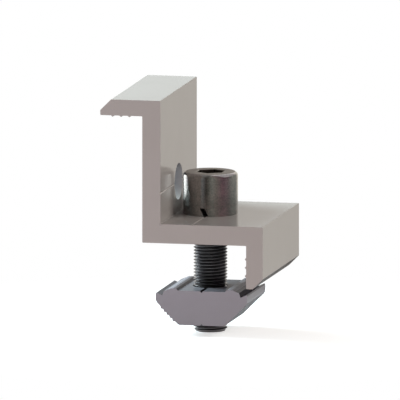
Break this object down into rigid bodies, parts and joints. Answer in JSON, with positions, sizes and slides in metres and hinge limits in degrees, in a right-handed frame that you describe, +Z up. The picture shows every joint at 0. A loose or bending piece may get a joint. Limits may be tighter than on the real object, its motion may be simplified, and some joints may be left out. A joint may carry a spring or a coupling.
{
  "type": "solar end clamp",
  "caption": "Z-shaped aluminium end clamp with socket head screw, split washer and channel nut, for holding a solar module's frame down on a mounting rail.",
  "frame": {"origin": "where the screw's axis crosses the plane of the rail's top, which is the plane of the foot's underside", "axes": "+X from the module side to the foot, across the extrusion; +Y along the extrusion; +Z up, from the rail to the lip"},
  "size_m": [0.0393, 0.04, 0.0575],
  "materials": {
    "profile_aluminium": "smooth mill finish extrusion, softly reflecting",
    "washer_steel": "smooth dark steel, softly reflecting",
    "screw_steel": "smooth dark steel, blacker in its thread and socket",
    "nut_aluminium": "sawn and extruded aluminium, cool grey"
  },
  "bodies": {
    "clamp": {"clamp_profile": "profile_aluminium", "lock_washer": "washer_steel"},
    "screw": {"cap_screw": "screw_steel"},
    "nut": {"rail_nut": "nut_aluminium"}
  },
  "joints": [
    {"name": "screw_turn", "type": "hinge", "parent": "clamp", "child": "screw", "pos_m": [0, 0, 0], "axis": [0, 0, -1], "range_deg": [-1200, 5832]},
    {"name": "nut_travel", "type": "slide", "parent": "clamp", "child": "nut", "axis": [0, 0, 1], "range_m": [-0.0025, 0.01215]}
  ],
  "couplings": [
    {"joint": "nut_travel", "follows": "screw_turn", "m_per_rad": 0.00011937}
  ]
}
